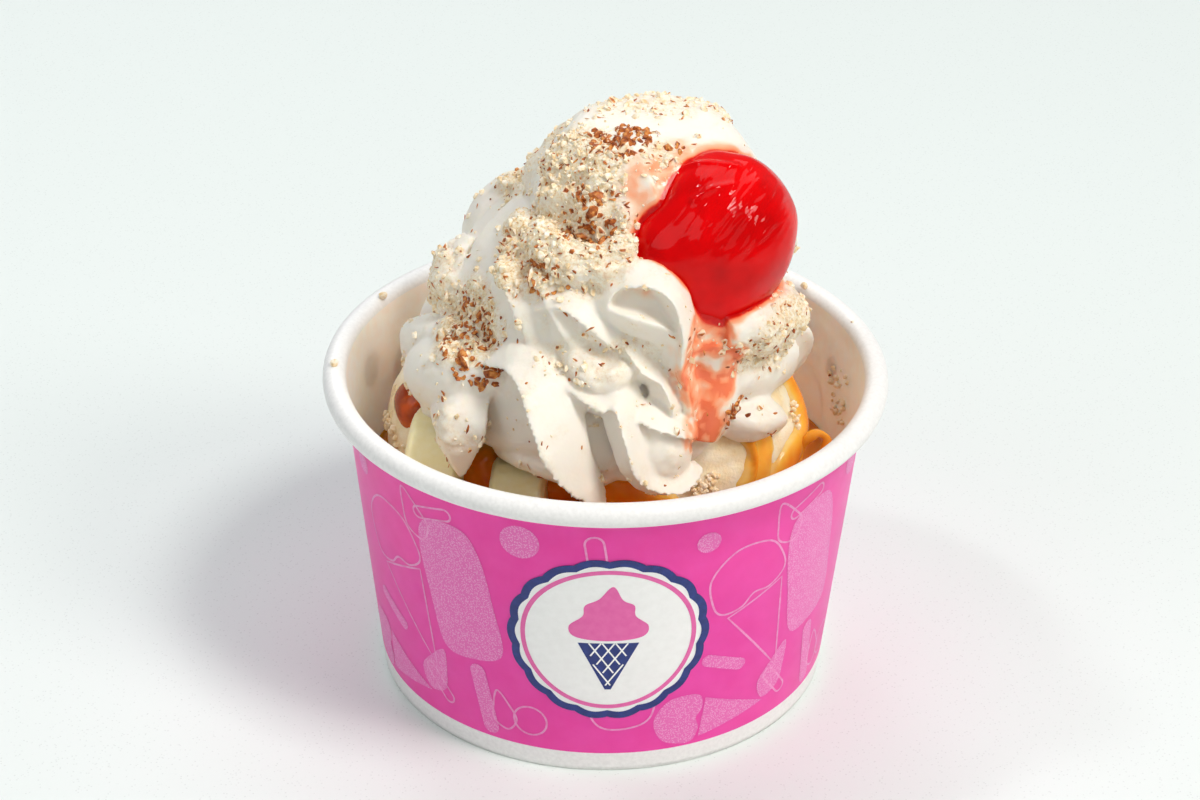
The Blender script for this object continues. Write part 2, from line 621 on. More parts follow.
def fold(path, rise, width, lay=0.0, blade=1.0, rows=90, sides=40):
    """A crest swept over the mound along (azimuth, height, stand-off) points: a blade where blade is
    1 and a round roll where it is 0, tipped over by lay."""
    way = []
    heights, radii = zip(*MOUND)
    for azimuth, z, off in path:
        r = np.interp(z, heights, radii) + off
        way.append((axis_x(z) + r * math.cos(math.radians(azimuth)), r * math.sin(math.radians(azimuth)), z))
    centre = spline(way, rows)
    h = np.maximum(spline(rise, rows), 0.15)[:, None]
    w = np.maximum(spline(width, rows), 0.15)[:, None]
    along = np.gradient(centre, axis=0)
    along /= np.linalg.norm(along, axis=1)[:, None]
    out = centre - np.column_stack([[axis_x(z) for z in centre[:, 2]], np.zeros(rows), centre[:, 2]])
    out[:, 2] = 0.25 * np.linalg.norm(out, axis=1)
    out -= (out * along).sum(1)[:, None] * along
    out /= np.linalg.norm(out, axis=1)[:, None]
    side = np.cross(along, out)
    a = np.arange(sides) * math.tau / sides
    up = np.where(np.cos(a) > 0, 1.0, 0.7) * np.cos(a)
    sharp = 0.16 + 1.2 * ((1 - up) / 1.7) ** 1.8
    across = np.sin(a) * (blade * sharp + (1 - blade) * (1 - 0.3 * np.cos(a)))
    tip = lay * np.maximum(np.cos(a), 0) ** 2
    rings = (
        centre[:, None]
        + (h * up)[..., None] * out[:, None]
        + (w * across + h * tip)[..., None] * side[:, None]
    )
    return skin(rings)


# the folds of the front, each (path, rise, width, lay, blade)
FOLDS = [
    # the skirt's left lobe, flap and point
    ([(215, 69, -1), (192, 63, -1.5), (181, 60, 0), (177, 58.5, 1)],
     [3, 4.2, 4.4, 3.6], [4, 5.5, 5.5, 4.5], 0.2, 0.1),
    ([(229, 67.5, -1), (214, 63.5, 0.5), (199, 60.5, 0.5), (186, 58.5, -0.5)],
     [2, 3.6, 4, 3], [4, 6, 6, 4.5], 0, 0),
    ([(201, 60, -4), (201, 56, -1.5), (205, 52.5, 0.5)], [2, 3, 1.6], [3, 4, 3], 0, 0.2),
    ([(221, 61.5, -1), (222, 58.5, 1.5), (223, 54, 3), (225, 48.3, 4)],
     [1.5, 3.2, 3, 0.4], [5, 7, 5, 0.6], -0.3, 0.4),
    # its long ridge
    ([(212, 66, -2), (229, 69, 0), (240, 70.4, 1.2), (249.5, 67.4, 1.8), (254.5, 63, 2), (260, 57, 2),
      (265.6, 51.7, 2.2), (269.5, 47.3, 2.6)],
     [1.5, 3, 4, 4.8, 4.8, 4.2, 3, 0.6], [3, 4, 5, 5.5, 5.5, 4.5, 3, 0.6], 0.5, 1),
    # its tongue: the ridge that ends as the lip, the body, and the layer that overlaps it
    ([(246, 71, -1.5), (257, 68.5, 0), (266, 66.6, 0.8), (273, 66.4, 1.2), (276.6, 62, 1.6), (279, 57.5, 2),
      (284, 53.8, 2.6), (292, 52.4, 2.8), (299, 53.6, 2)],
     [1.2, 2.6, 3.2, 3.8, 4.2, 4.2, 3.8, 3.2, 1.5], [2.5, 3.5, 4, 4.5, 4.5, 4, 3.5, 3, 1.5], 0.4, 1),
    ([(278, 64, -2), (284, 60, 0), (289, 56.5, 1), (294, 54, 0.5)], [1.5, 2.6, 3, 2], [3, 5.5, 6, 4], 0, 0),
    ([(272, 66.5, 0), (279, 64.8, 1), (285, 63.4, 1.8), (292, 62, 2.2), (298, 60, 1)],
     [1, 2.2, 2.8, 2.8, 1.5], [2.5], 0.6, 0.9),
    # its right lip and right side, and the roll along its foot
    ([(311, 60, -1.5), (318, 58, 0.5), (325, 57.5, 1.5), (332, 55, 1.5)],
     [2.5, 3, 2.8, 2], [3, 3.6, 3.6, 2.6], 0, 0.3),
    ([(313, 66, 0), (330, 65, 0), (349, 63, 0.5)], [3, 3.6, 3], [4, 5.5, 5], 0, 0),
    ([(226, 51.5, -5), (240, 52, -3.5), (254, 51.5, -3), (264, 51, -3), (273, 53, -3.5), (284, 53, -3),
      (308, 51.5, -4)],
     [2], [2.6], 0, 0),
    # the cream behind the curl, the curl, the rim under its hollow and the ridge below that
    ([(262, 83, -2), (280, 79, -1.2), (297, 74, -0.5)], [3, 3.4, 3], [4, 5, 4], 0, 0),
    ([(263, 78, -0.5), (259.5, 82, 0), (262.5, 85, 1), (269, 86.2, 2), (277, 85.6, 2.8), (284, 83, 3.2),
      (288.5, 78, 3), (291.5, 72, 2.2), (295, 66, 1.2), (297, 60, 0)],
     [1, 2.6, 3.4, 4, 4.2, 4.2, 4, 3.6, 3, 1.5], [2, 2.6, 3, 3, 3, 3, 3.2, 3.4, 3.4, 2.5], 0.3, 0.9),
    ([(261, 80.5, -0.5), (266, 80.2, 0.8), (273, 79.6, 2), (281, 78.4, 2.6), (287, 75.8, 2.2)],
     [1.5, 2.6, 3, 3, 2], [2.5, 3, 3.2, 3, 2.4], -0.3, 0.8),
    ([(266, 77, -1.5), (274.6, 74.4, 0), (281, 71.4, 0.8), (287, 69.4, 1.2), (290, 65.5, 1.4),
      (292, 61.5, 0.5)],
     [1.2, 2.6, 3.2, 3.4, 3, 1.5], [2.5, 3.2, 3.6, 3.6, 3.2, 2], 0.4, 1),
    # the bulge and the step left of the curl, and the fold right of it
    ([(252, 74, -1), (262, 70.5, 0.5), (270, 69.8, 0.8), (277, 72.5, 0)],
     [2, 3, 3, 2], [3, 3.5, 3.5, 2.5], 0.3, 0.2),
    ([(232, 78, -1), (241, 80.5, 0), (250, 81, 0.6), (259, 78.6, 0.8), (267, 76, 0.5), (274, 73, -0.5)],
     [1.2, 2.4, 2.8, 2.6, 2.2, 1], [2.5, 3, 3, 3, 2.6, 2], 0.4, 0.9),
    ([(302, 75, 2), (309, 68, 0.5), (307, 62, -0.5), (303, 57, 0)],
     [2, 3, 3.2, 1.5], [3, 5, 5, 2.5], 0, 0.3),
    # the ridges of the left shoulder and the shelf above them
    ([(190, 85, -3), (216, 84, -1), (232, 79, 0), (242, 72, 0)], [1.2, 3, 3, 1.2], [3, 4, 4, 3], 0.4, 0.8),
    ([(225, 85, -3), (238, 83, -1), (249, 78, 0), (258, 73, 0)], [1.5, 3, 3, 1.2], [3, 4, 4, 3], 0.4, 0.9),
    ([(196, 85, -3), (224, 86, -1), (248, 86, 1), (267, 88, 0)], [2, 3.2, 3.4, 2], [3, 4, 4, 3], 0, 0.2),
    # the lumps at the left and the right
    ([(169, 77, -1), (174, 74, 0), (183, 70, 0), (181, 65, -3)], [2, 3.2, 3.2, 3], [4, 6, 6, 4], 0, 0.1),
    ([(304, 76, 2), (317, 76, 3), (336, 73, 3.5)], [4, 4.8, 4], [4, 6, 5.5], 0, 0),
]
# round the back, drooping points on the skirt and shorter ones above it
for azimuth in (12, 48, 86, 122, 158):
    FOLDS.append((
        [(azimuth - 20, 68, -1.5), (azimuth - 8, 62, 0.5), (azimuth, 55, 1.5), (azimuth + 2, 49, 1.5)],
        [1.5, 3.6, 3.4, 0.6], [3, 5, 4.5, 0.8], 0.3, 0.7,
    ))
for azimuth in (30, 70, 110, 150):
    FOLDS.append((
        [(azimuth - 18, 86, -2), (azimuth - 6, 80, 1), (azimuth, 74, 1.5), (azimuth + 2, 69, 0)],
        [1.5, 3.4, 3.2, 1], [3, 4.5, 4.5, 2], 0.3, 0.7,
    ))
# the piped rings, each (outline as (radius, height), petals, turn, droop)
RINGS = [
    ([(16, 51), (26, 51.5), (31, 53), (32.5, 56), (31.5, 61), (29, 67), (22, 72), (8, 75)],
     [(22, 1.03, 0.2), (62, 1.05, 0.22), (103, 1.06, 0.22), (143, 1.05, 0.2), (184, 0.98, 0.12),
      (229, 0.9, 0.04), (269, 0.93, 0.04), (303, 0.9, 0.04), (343, 0.93, 0.1)], 1.7, 1.0),
    ([(14, 66), (24, 66), (28, 67.5), (30, 71), (29, 76), (26, 82), (20, 86), (6, 88)],
     [(30, 1.02, 0.16), (80, 0.97, 0.16), (130, 0.97, 0.16), (180, 0.94, 0.1), (210, 0.9, 0.03),
      (238, 0.9, 0.03), (262, 0.88, 0.03), (303, 0.95, 0.03), (345, 1.12, 0.1)], 2.0, 2.0),
    ([(8, 83), (15, 83), (19, 84.5), (20.5, 88.5), (19.5, 93), (17, 97.5), (13, 100.5), (4, 101.5)],
     [(20, 0.95, 0.12), (75, 1.03, 0.14), (120, 1, 0.14), (170, 0.97, 0.12), (222, 0.96, 0.06),
      (262, 0.96, 0.06), (300, 0.94, 0.06), (340, 0.9, 0.08)], 2.0, 1.5),
]


def remeshed(name, bms, voxel, smooth, keep):
    """Fuse closed shapes into one even skin, thinned out to a share of its faces where it is flattest."""
    whole = bmesh.new()
    for bm in bms:
        mesh = to_mesh(name, bm)
        whole.from_mesh(mesh)
        bpy.data.meshes.remove(mesh)
    ob = bpy.data.objects.new(name, to_mesh(name, whole, outward=False))
    bpy.context.scene.collection.objects.link(ob)
    fuse = ob.modifiers.new("fuse", "REMESH")
    fuse.mode = "VOXEL"
    fuse.voxel_size = voxel * MM
    soften = ob.modifiers.new("soften", "SMOOTH")
    soften.factor = 0.5
    soften.iterations = smooth
    thin_out = ob.modifiers.new("thin_out", "DECIMATE")
    thin_out.ratio = keep
    mesh = bpy.data.meshes.new_from_object(ob.evaluated_get(bpy.context.evaluated_depsgraph_get()))
    bpy.data.objects.remove(ob)
    return mesh


# where nuts lie thick: (centre, radii in x, y and z, thickness from 0 to 1)
NUTTY = [
    ((-6, -9, 97.5), (9, 9, 5), 1.0),
    ((-11, -16, 86), (10, 8, 6), 1.0),
    ((-2, -19, 88), (8, 6, 8), 0.8),
    ((8, -10, 99), (3, 4, 3), 0.7),
    ((8, 8, 99), (12, 6, 4), 0.4),
    ((-23, -14, 72), (7, 8, 6), 0.9),
    ((-29, -2, 74), (5, 8, 6), 0.7),
    ((-17, -10, 88), (7, 7, 6), 0.7),
    ((26, -18, 73), (8, 8, 6), 0.8),
    ((14, -21, 74), (5, 4, 5), 0.5),
    ((-23, -22, 57), (4, 4, 4), 0.5),
    ((-1, -26, 72), (9, 4, 4), 0.35),
    ((-12, 14, 90), (10, 10, 8), 0.7),
    ((12, 24, 76), (14, 10, 7), 0.55),
    ((30, 8, 72), (8, 10, 7), 0.6),
]
# where they lie in clumps: likewise
CLUMPED = [
    ((2, -6, 100), (5, 4, 3), 0.9),
    ((11, -8, 99), (2, 2, 2), 1.0),
    ((-3, -16, 92), (4, 5, 4), 0.45),
    ((-7, -20, 84), (5, 4, 4), 0.4),
    ((-22, -15, 70), (5, 6, 5), 0.3),
    ((-20, -19, 66), (4, 4, 2.5), 0.8),
    ((22, -25, 62), (2.4, 3, 1.8), 1.0),
    ((-25, -17, 58), (1.6, 4, 4), 0.7),
    ((8, -28, 52), (1.6, 3, 1.6), 0.5),
]
# where cherry syrup has run: (centre, radii, strength)
STAINED = [
    ((17, -27, 70), (5.5, 6, 5.5), 0.9),
    ((16.5, -28, 61), (3.6, 6, 4.6), 0.9),
    ((15, -24, 76), (5, 6, 5), 0.7),
    ((12, -12, 96), (10, 8, 6), 0.5),
    ((5, -18, 84), (6, 7, 5), 0.5),
]


def cherry_reach(way):
    """The cherry's radius in a direction: drawn out at its tip and foot, flat at its shoulder."""
    corners = 4.4 * max(0.0, way.dot(CHERRY_TIP)) ** 4 + 3.0 * max(0.0, way.dot(CHERRY_FOOT)) ** 6
    flat = 1.0 * max(0.0, way.dot(CHERRY_SHOULDER)) ** 3
    return CHERRY_RADIUS + corners - flat + 0.35 * noise.noise(way * 2.2 + Vector((3, 1, 4)))


def spread(blobs, p):
    """The strongest of some soft blobs at a point."""
    best = 0.0
    for centre, radii, strength in blobs:
        d = p - Vector(centre)
        q = (d.x / radii[0]) ** 2 + (d.y / radii[1]) ** 2 + (d.z / radii[2]) ** 2
        if q < 1.8:
            best = max(best, strength * min(1.0, 1.8 - q))
    return best


shapes = [swirl(*ring) for ring in RINGS] + [fold(*values) for values in FOLDS]
cream_mesh = remeshed("cream", shapes, CREAM_FACE, 3, CREAM_KEPT)
mealy, nutty, clumped, stained = np.zeros((4, len(cream_mesh.vertices)))
normals = [v.normal.copy() for v in cream_mesh.vertices]
for i, vert in enumerate(cream_mesh.vertices):
    p = vert.co / MM
    sway = 0.8 * noise.noise_vector(p / 16) + 0.2 * noise.noise_vector(p / 4 + Vector((7, 3, 1)))
    patch = 0.6 * noise.noise(p / 3.5) + 0.4 * noise.noise(p / 1.5)
    mealy[i] = min(1, max(0, spread(NUTTY, p) + 0.5 * patch))
    clumped[i] = spread(CLUMPED, p)
    soaked = spread(STAINED, p) * (0.75 + 0.9 * noise.noise(p / 2.6) + 0.5 * noise.noise(p / 1.1))
    away = p - CHERRY
    touching = 1.1 - (away.length - cherry_reach(away.normalized())) / (1.5 + noise.noise(p / 2.5))
    stained[i] = min(1, max(0, min(0.78, soaked), touching))
    near, _ = noise.voronoi((p + 2.5 * noise.noise_vector(p / 5)) / 8)
    clod = min(1.0, (near[1] - near[0]) / 0.5) * min(1.0, max(0.0, (98 - p.z) / 4))
    lumps = 1.8 * clod - 0.4 + noise.noise(p / 2.2) * 0.6 + noise.noise(p / 0.9) * 0.4
    raised = mealy[i] * lumps + 0.05 * noise.noise(p / 1.2)
    vert.co += sway * MM + normals[i] * raised * MM
    nutty[i] = mealy[i] * (1 - 0.65 * clod)
for name, values in (("mealy", mealy), ("nutty", nutty), ("clumped", clumped), ("stained", stained)):
    layer = cream_mesh.attributes.new(name, "FLOAT", "POINT")
    layer.data.foreach_set("value", values)

# whipped dairy cream: bright white, matt to satin, light spreading through it, with nut meal stuck to
# it where the nuts lie and pink syrup soaked in under the cherry
whipped, tree, shader = material(
    "whipped cream", "fdf6ea", 0.42, IOR=1.4,
    Subsurface_Weight=0.3, Subsurface_Radius=(1.0, 0.7, 0.45), Subsurface_Scale=1.5 * MM,
)
coords = place(tree)
meal = add(tree, "ShaderNodeTexNoise", {"Vector": coords, "Scale": 1.6, "Detail": 6.0, "Roughness": 0.7})
meal_tone = add(
    tree, "ShaderNodeValToRGB", {0: meal}, stops=[(0.34, "d2a366"), (0.47, "f0dab2"), (0.62, "faf2e2")]
)
nut_mask = add(tree, "ShaderNodeAttribute", {}, attribute_name="mealy").outputs["Fac"]
base = add(tree, "ShaderNodeMix", {0: nut_mask, 6: linear("f7efe3"), 7: meal_tone}, data_type="RGBA")
stain_mask = add(tree, "ShaderNodeAttribute", {}, attribute_name="stained").outputs["Fac"]
stain_tone = add(
    tree, "ShaderNodeValToRGB", {0: stain_mask},
    stops=[(0.0, "fdeee2"), (0.3, "ffccaa"), (0.72, "ff9a6c"), (0.9, "e02c14"), (1.0, "c80404")],
)
veil = add(tree, "ShaderNodeMapRange", {0: stain_mask, 1: 0.05, 2: 0.4})
colour = add(tree, "ShaderNodeMix", {0: veil, 6: base.outputs[2], 7: stain_tone}, data_type="RGBA")
syrupy = add(tree, "ShaderNodeMapRange", {0: stain_mask, 1: 0.1, 2: 0.7, 3: 0.42, 4: 0.12})
foam = add(tree, "ShaderNodeTexNoise", {"Vector": coords, "Scale": 1.1, "Detail": 4.0})
bump = add(tree, "ShaderNodeBump", {"Strength": 0.25, "Distance": 0.2 * MM, "Height": foam})
feed(shader, {"Base Color": colour.outputs[2], "Roughness": syrupy, "Normal": bump})
cream_mesh.materials.clear()
cream_mesh.materials.append(whipped)
cream = finished("whipped_cream_piped", cream_mesh, "whipped_cream")


# Caramel sauce: boiled sugar and cream, poured warm. It lies in a pool round the balls, runs down
# them in flows with rounded edges, and stands in a thick drop on the left one.
def tint(mesh, name, values):
    """A value at each vertex, for the material to read."""
    mesh.attributes.new(name, "FLOAT", "POINT").data.foreach_set("value", np.asarray(values, np.float32))


# boiled caramel: clear and very glossy, amber where it lies thin and red brown where it lies thick
caramel, tree, shader = material(
    "caramel sauce", "c4640f", 0.05, IOR=1.45, Specular_IOR_Level=0.45,
    Subsurface_Weight=0.5, Subsurface_Radius=(1.0, 0.45, 0.1), Subsurface_Scale=4 * MM,
)
depth = add(tree, "ShaderNodeAttribute", {}, attribute_name="depth").outputs["Fac"]
streaks = add(
    tree, "ShaderNodeTexNoise", {"Vector": place(tree), "Scale": 0.2, "Detail": 3.0, "Distortion": 0.6}
)
uneven = add(tree, "ShaderNodeMapRange", {0: streaks, 1: 0.3, 2: 0.7, 3: -0.12, 4: 0.12})
level = add(tree, "ShaderNodeMath", {0: depth, 1: uneven}, operation="ADD")
tone = add(
    tree, "ShaderNodeValToRGB", {0: level},
    stops=[
        (0.0, "fad08a"), (0.2, "fab848"), (0.45, "f4982a"),
        (0.7, "ee7e18"), (0.88, "cc560e"), (1.0, "9a3a10"),
    ],
)
feed(shader, {"Base Color": tone})

POOL_EDGE = outer_radius(SAUCE_TOP) - WALL - 0.15
around = np.arange(240) * math.tau / 240
rings = [
    [(r * math.cos(a), r * math.sin(a), FILL_TOP + 0.3) for a in around] for r in (0.02, POOL_EDGE - 0.8)
]
drawn_up = POOL_EDGE - np.array([0.0, 0.15, 0.4, 0.8, 1.3, 2.0])
for r in [*drawn_up, *np.linspace(POOL_EDGE - 2.6, 14, 60), 0.02]:
    ring = []
    for x, y in zip(r * np.cos(around), r * np.sin(around)):
        z = SAUCE_TOP + 0.35 * noise.noise(Vector((x / 7, y / 7, 0))) - 0.5
        z += 0.9 * math.exp(-(POOL_EDGE - r) / 0.7)
        ring.append((x, y, z))
    rings.append(ring)
pool_mesh = to_mesh("caramel_pool", skin(rings), (caramel,))
tint(pool_mesh, "depth", np.full(len(pool_mesh.vertices), 0.6))
finished("caramel_pool", pool_mesh, "caramel_sauce")


def coat(name, centre, radius, flows):
    """Sauce over a ball: proud of it along flows, each (azimuth, elevation) points, half widths and
    greatest thickness, and just under its skin elsewhere."""
    bm = bmesh.new()
    bmesh.ops.create_icosphere(bm, subdivisions=7, radius=1.0)
    way = np.array([v.co.normalized() for v in bm.verts])
    rough = np.array([noise.noise(Vector(w) * 4) + 0.5 * noise.noise(Vector(w) * 11) for w in way])
    thick = np.full(len(way), -0.9)
    for points, widths, most in flows:
        azimuth, up = np.radians(spline(points, 70)).T
        line = np.column_stack([np.cos(azimuth) * np.cos(up), np.sin(azimuth) * np.cos(up), np.sin(up)])
        gap = np.linalg.norm(way[:, None] - line[None], axis=2) * radius / spline(widths, 70)[None]
        thick = np.maximum(thick, most * (1 - (gap.min(axis=1) * (1 + 0.3 * rough)) ** 2))
    for vert, w, t in zip(bm.verts, way, thick):
        vert.co = (centre + Vector(w) * (radius + 0.15 + t)) * MM
    mesh = to_mesh(name, bm, (caramel,))
    tint(mesh, "depth", np.clip(thick / 2.7, 0.05, 1))
    finished(name, mesh)


def rim_of(low, width):
    """The sauce drawn up round a ball where it stands in the pool."""
    return ([(a, low) for a in range(0, 361, 30)], [width], 0.7)


coat("caramel_right", RIGHT_BALL, RIGHT_RADIUS, [
    ([(300, 44), (305, 33), (308, 25), (309, 15), (307, 6), (305, -2), (303, -20)],
     [2.0, 2.4, 2.7, 2.8, 3, 3.4, 4.5], 0.8),
    ([(298, 40), (301, 30), (303, 22), (304, 12), (301, 0)], [1.6, 1.8, 1.2, 0.6, 0.4], 1.5),
    ([(354, 48), (351, 30), (348, 13), (340, 6), (328, 2), (322, -3), (318, -16)],
     [1.8, 2.2, 2.2, 2.6, 3, 3.6, 4.5], 1.2),
    ([(225, -10), (237, -4), (248, -3), (259, -4), (266, -12)], [3.2, 3.6, 3.2, 2.4, 1.6], 1.5),
    ([(60, 40), (66, 20), (70, -5), (72, -24)], [2, 2.4, 3, 4.5], 1.0),
    ([(112, 35), (118, 12), (120, -10)], [1.8, 2.6, 4], 1.0),
    rim_of(-33, 3.0),
])
coat("caramel_left", LEFT_BALL, LEFT_RADIUS, [
    ([(238, 42), (246, 26), (253, 12), (261, 4), (275, -1), (290, -4), (306, -8)],
     [3, 3.6, 4.4, 5, 4.6, 4, 4], 1.9),
    ([(262, 14), (265, 4), (262, -12)], [3, 4, 5], 2.1),
    ([(150, 52), (148, 28), (150, 4), (152, -12)], [2.2, 2.6, 2.6, 4], 1.1),
    ([(96, 42), (99, 20), (100, -2)], [2, 2.4, 3.6], 1.0),
    ([(50, 40), (46, 18), (44, -5)], [1.8, 2.4, 3.6], 1.0),
    rim_of(-17, 2.6),
])

DROP_CENTRE, DROP_RADIUS = Vector((-30.2, -1.0, 48.6)), 5.4
bm = bmesh.new()
bmesh.ops.create_icosphere(bm, subdivisions=6, radius=1.0)
hang = Vector((0.25, -0.45, -0.86))
for vert in bm.verts:
    way = vert.co.normalized()
    sag = 1.2 * max(0.0, way.dot(hang)) ** 3 + 0.25 * noise.noise(way * 1.5)
    vert.co = (DROP_CENTRE + way * (DROP_RADIUS + sag)) * MM
drop_mesh = to_mesh("caramel_drop", bm, (caramel,))
drop_depth = [0.84 + 0.07 * (v.co.z / MM - 47.5) - 0.03 * (v.co.x / MM + 31) for v in drop_mesh.vertices]
tint(drop_mesh, "depth", np.clip(drop_depth, 0.4, 1))
finished("caramel_drop", drop_mesh)

# a string of caramel that set as a loop against the wall on the right
LOOP = [
    (31, -14, 42), (32.3, -12.5, 46), (33.6, -12, 49), (35.4, -12, 50.3),
    (36.9, -12, 49.1), (36.2, -12.2, 46.6), (33.5, -13, 43),
]
way = spline(LOOP, 120)
along = np.gradient(way, axis=0)
along /= np.linalg.norm(along, axis=1)[:, None]
side = np.cross(along, (0.1, 1.0, 0.2))
side /= np.linalg.norm(side, axis=1)[:, None]
front = np.cross(side, along)
thick = 0.75 + 0.25 * np.sin(np.linspace(0, 19, 120)) * np.linspace(1, 0.4, 120)
turn = (np.arange(24) * math.tau / 24)[None, :, None]
string = way[:, None] + thick[:, None, None] * (np.cos(turn) * side[:, None] + np.sin(turn) * front[:, None])
loop_mesh = to_mesh("caramel_string", skin(string), (caramel,))
tint(loop_mesh, "depth", np.full(len(loop_mesh.vertices), 0.42))
finished("caramel_string", loop_mesh)


# Cherry: stoned and candied in syrup, so it is slack, deep red, wet and finely wrinkled, drawn to
# a blunt tip where it was pressed into the cream.
# where the skin is finely pleated, and which way the pleats run
CRUMPLED = Vector((0.3, -0.62, 0.72)).normalized()
PLEAT_ACROSS, PLEAT_ALONG = Vector((0.8, -0.3, -0.52)), Vector((0.6, 0.4, 0.69))
SEAMS = (  # long folds of the slack skin, as points on its surface seen from the centre
    [(-0.69, -0.18, 0.70), (-0.48, -0.01, 0.87), (-0.23, -0.06, 0.97), (0.23, -0.13, 0.97)],
    [(-0.30, -0.60, 0.74), (-0.17, -0.555, 0.81), (0.0, -0.50, 0.86), (0.17, -0.46, 0.87)],
)
seams = np.concatenate([spline(seam, 60) for seam in SEAMS])
seams /= np.linalg.norm(seams, axis=1)[:, None]
bm = bmesh.new()
bmesh.ops.create_uvsphere(bm, u_segments=320, v_segments=200, radius=1.0)
for vert in bm.verts:
    way = vert.co.normalized()
    across, down = way.dot(PLEAT_ACROSS), way.dot(PLEAT_ALONG)
    pleat = noise.noise(Vector((across * 11, down * 3, 5)))
    pleat += 0.5 * noise.noise(Vector((across * 23, down * 6, 9)))
    off_seam = np.linalg.norm(seams - np.array(way), axis=1).min() * CHERRY_RADIUS
    relief = 0.3 * pleat * max(0.0, way.dot(CRUMPLED)) ** 5 + 0.45 * math.exp(-((off_seam / 0.8) ** 2))
    relief += 0.1 * noise.noise(Vector((way.x * 4, way.y * 3, way.z * 2)) + Vector((1, 5, 2)))
    vert.co = (CHERRY + way * (cherry_reach(way) + relief)) * MM
# candied cherry: dyed flesh that light enters, under a film of syrup
candied, tree, shader = material(
    "candied cherry", "dc0004", 0.2, Specular_IOR_Level=0.0,
    Coat_Weight=0.7, Coat_Roughness=0.02, Coat_IOR=1.35,
    Subsurface_Weight=0.1, Subsurface_Radius=(1.0, 0.02, 0.01), Subsurface_Scale=3 * MM,
)
coords = place(tree)
flesh = add(tree, "ShaderNodeTexNoise", {"Vector": coords, "Scale": 0.12, "Detail": 3.0})
tone = add(tree, "ShaderNodeValToRGB", {0: flesh}, stops=[(0.3, "c40002"), (0.6, "e40004")])
crinkle = add(tree, "ShaderNodeTexNoise", {"Vector": coords, "Scale": 0.5, "Detail": 4.0, "Distortion": 0.8})
bump = add(tree, "ShaderNodeBump", {"Strength": 0.04, "Distance": 0.4 * MM, "Height": crinkle})
feed(shader, {"Base Color": tone, "Normal": bump, "Coat Normal": bump})
finished("cherry_candied", to_mesh("cherry", bm, (candied,)), "cherry")


# Chopped almonds: roasted in their skins and chopped, so a piece is cream inside and brown where
# it has kept its skin. They are thrown over the top, from meal to 3 mm chunks and long skin flakes.
# roasted almond: pale oily flesh and thin papery skin, each piece with its own share of skin
almond, tree, shader = material("chopped almond", "f3dcb4", 0.5, IOR=1.45)
share = add(tree, "ShaderNodeAttribute", {}, attribute_name="skin").outputs["Fac"]
side = add(tree, "ShaderNodeAttribute", {}, attribute_name="side").outputs["Fac"]
limit = add(tree, "ShaderNodeMapRange", {0: share, 1: 0.0, 2: 1.0, 3: 1.1, 4: -1.1})
over = add(tree, "ShaderNodeMath", {0: side, 1: limit}, operation="SUBTRACT")
skinned = add(tree, "ShaderNodeMapRange", {0: over, 1: -0.05, 2: 0.12})
fleck = add(tree, "ShaderNodeTexNoise", {"Vector": place(tree), "Scale": 1.2, "Detail": 4.0})
flesh, bark = (
    add(tree, "ShaderNodeValToRGB", {0: fleck}, stops=list(zip((0.35, 0.5, 0.65), colours)))
    for colours in (("f0d09c", "fae8c8", "fff6e6"), ("7e340c", "b86220", "e09a50"))
)
colour = add(tree, "ShaderNodeMix", {0: skinned, 6: flesh, 7: bark}, data_type="RGBA")
bump = add(tree, "ShaderNodeBump", {"Strength": 0.4, "Distance": 0.1 * MM, "Height": fleck})
feed(shader, {"Base Color": colour.outputs[2], "Normal": bump})


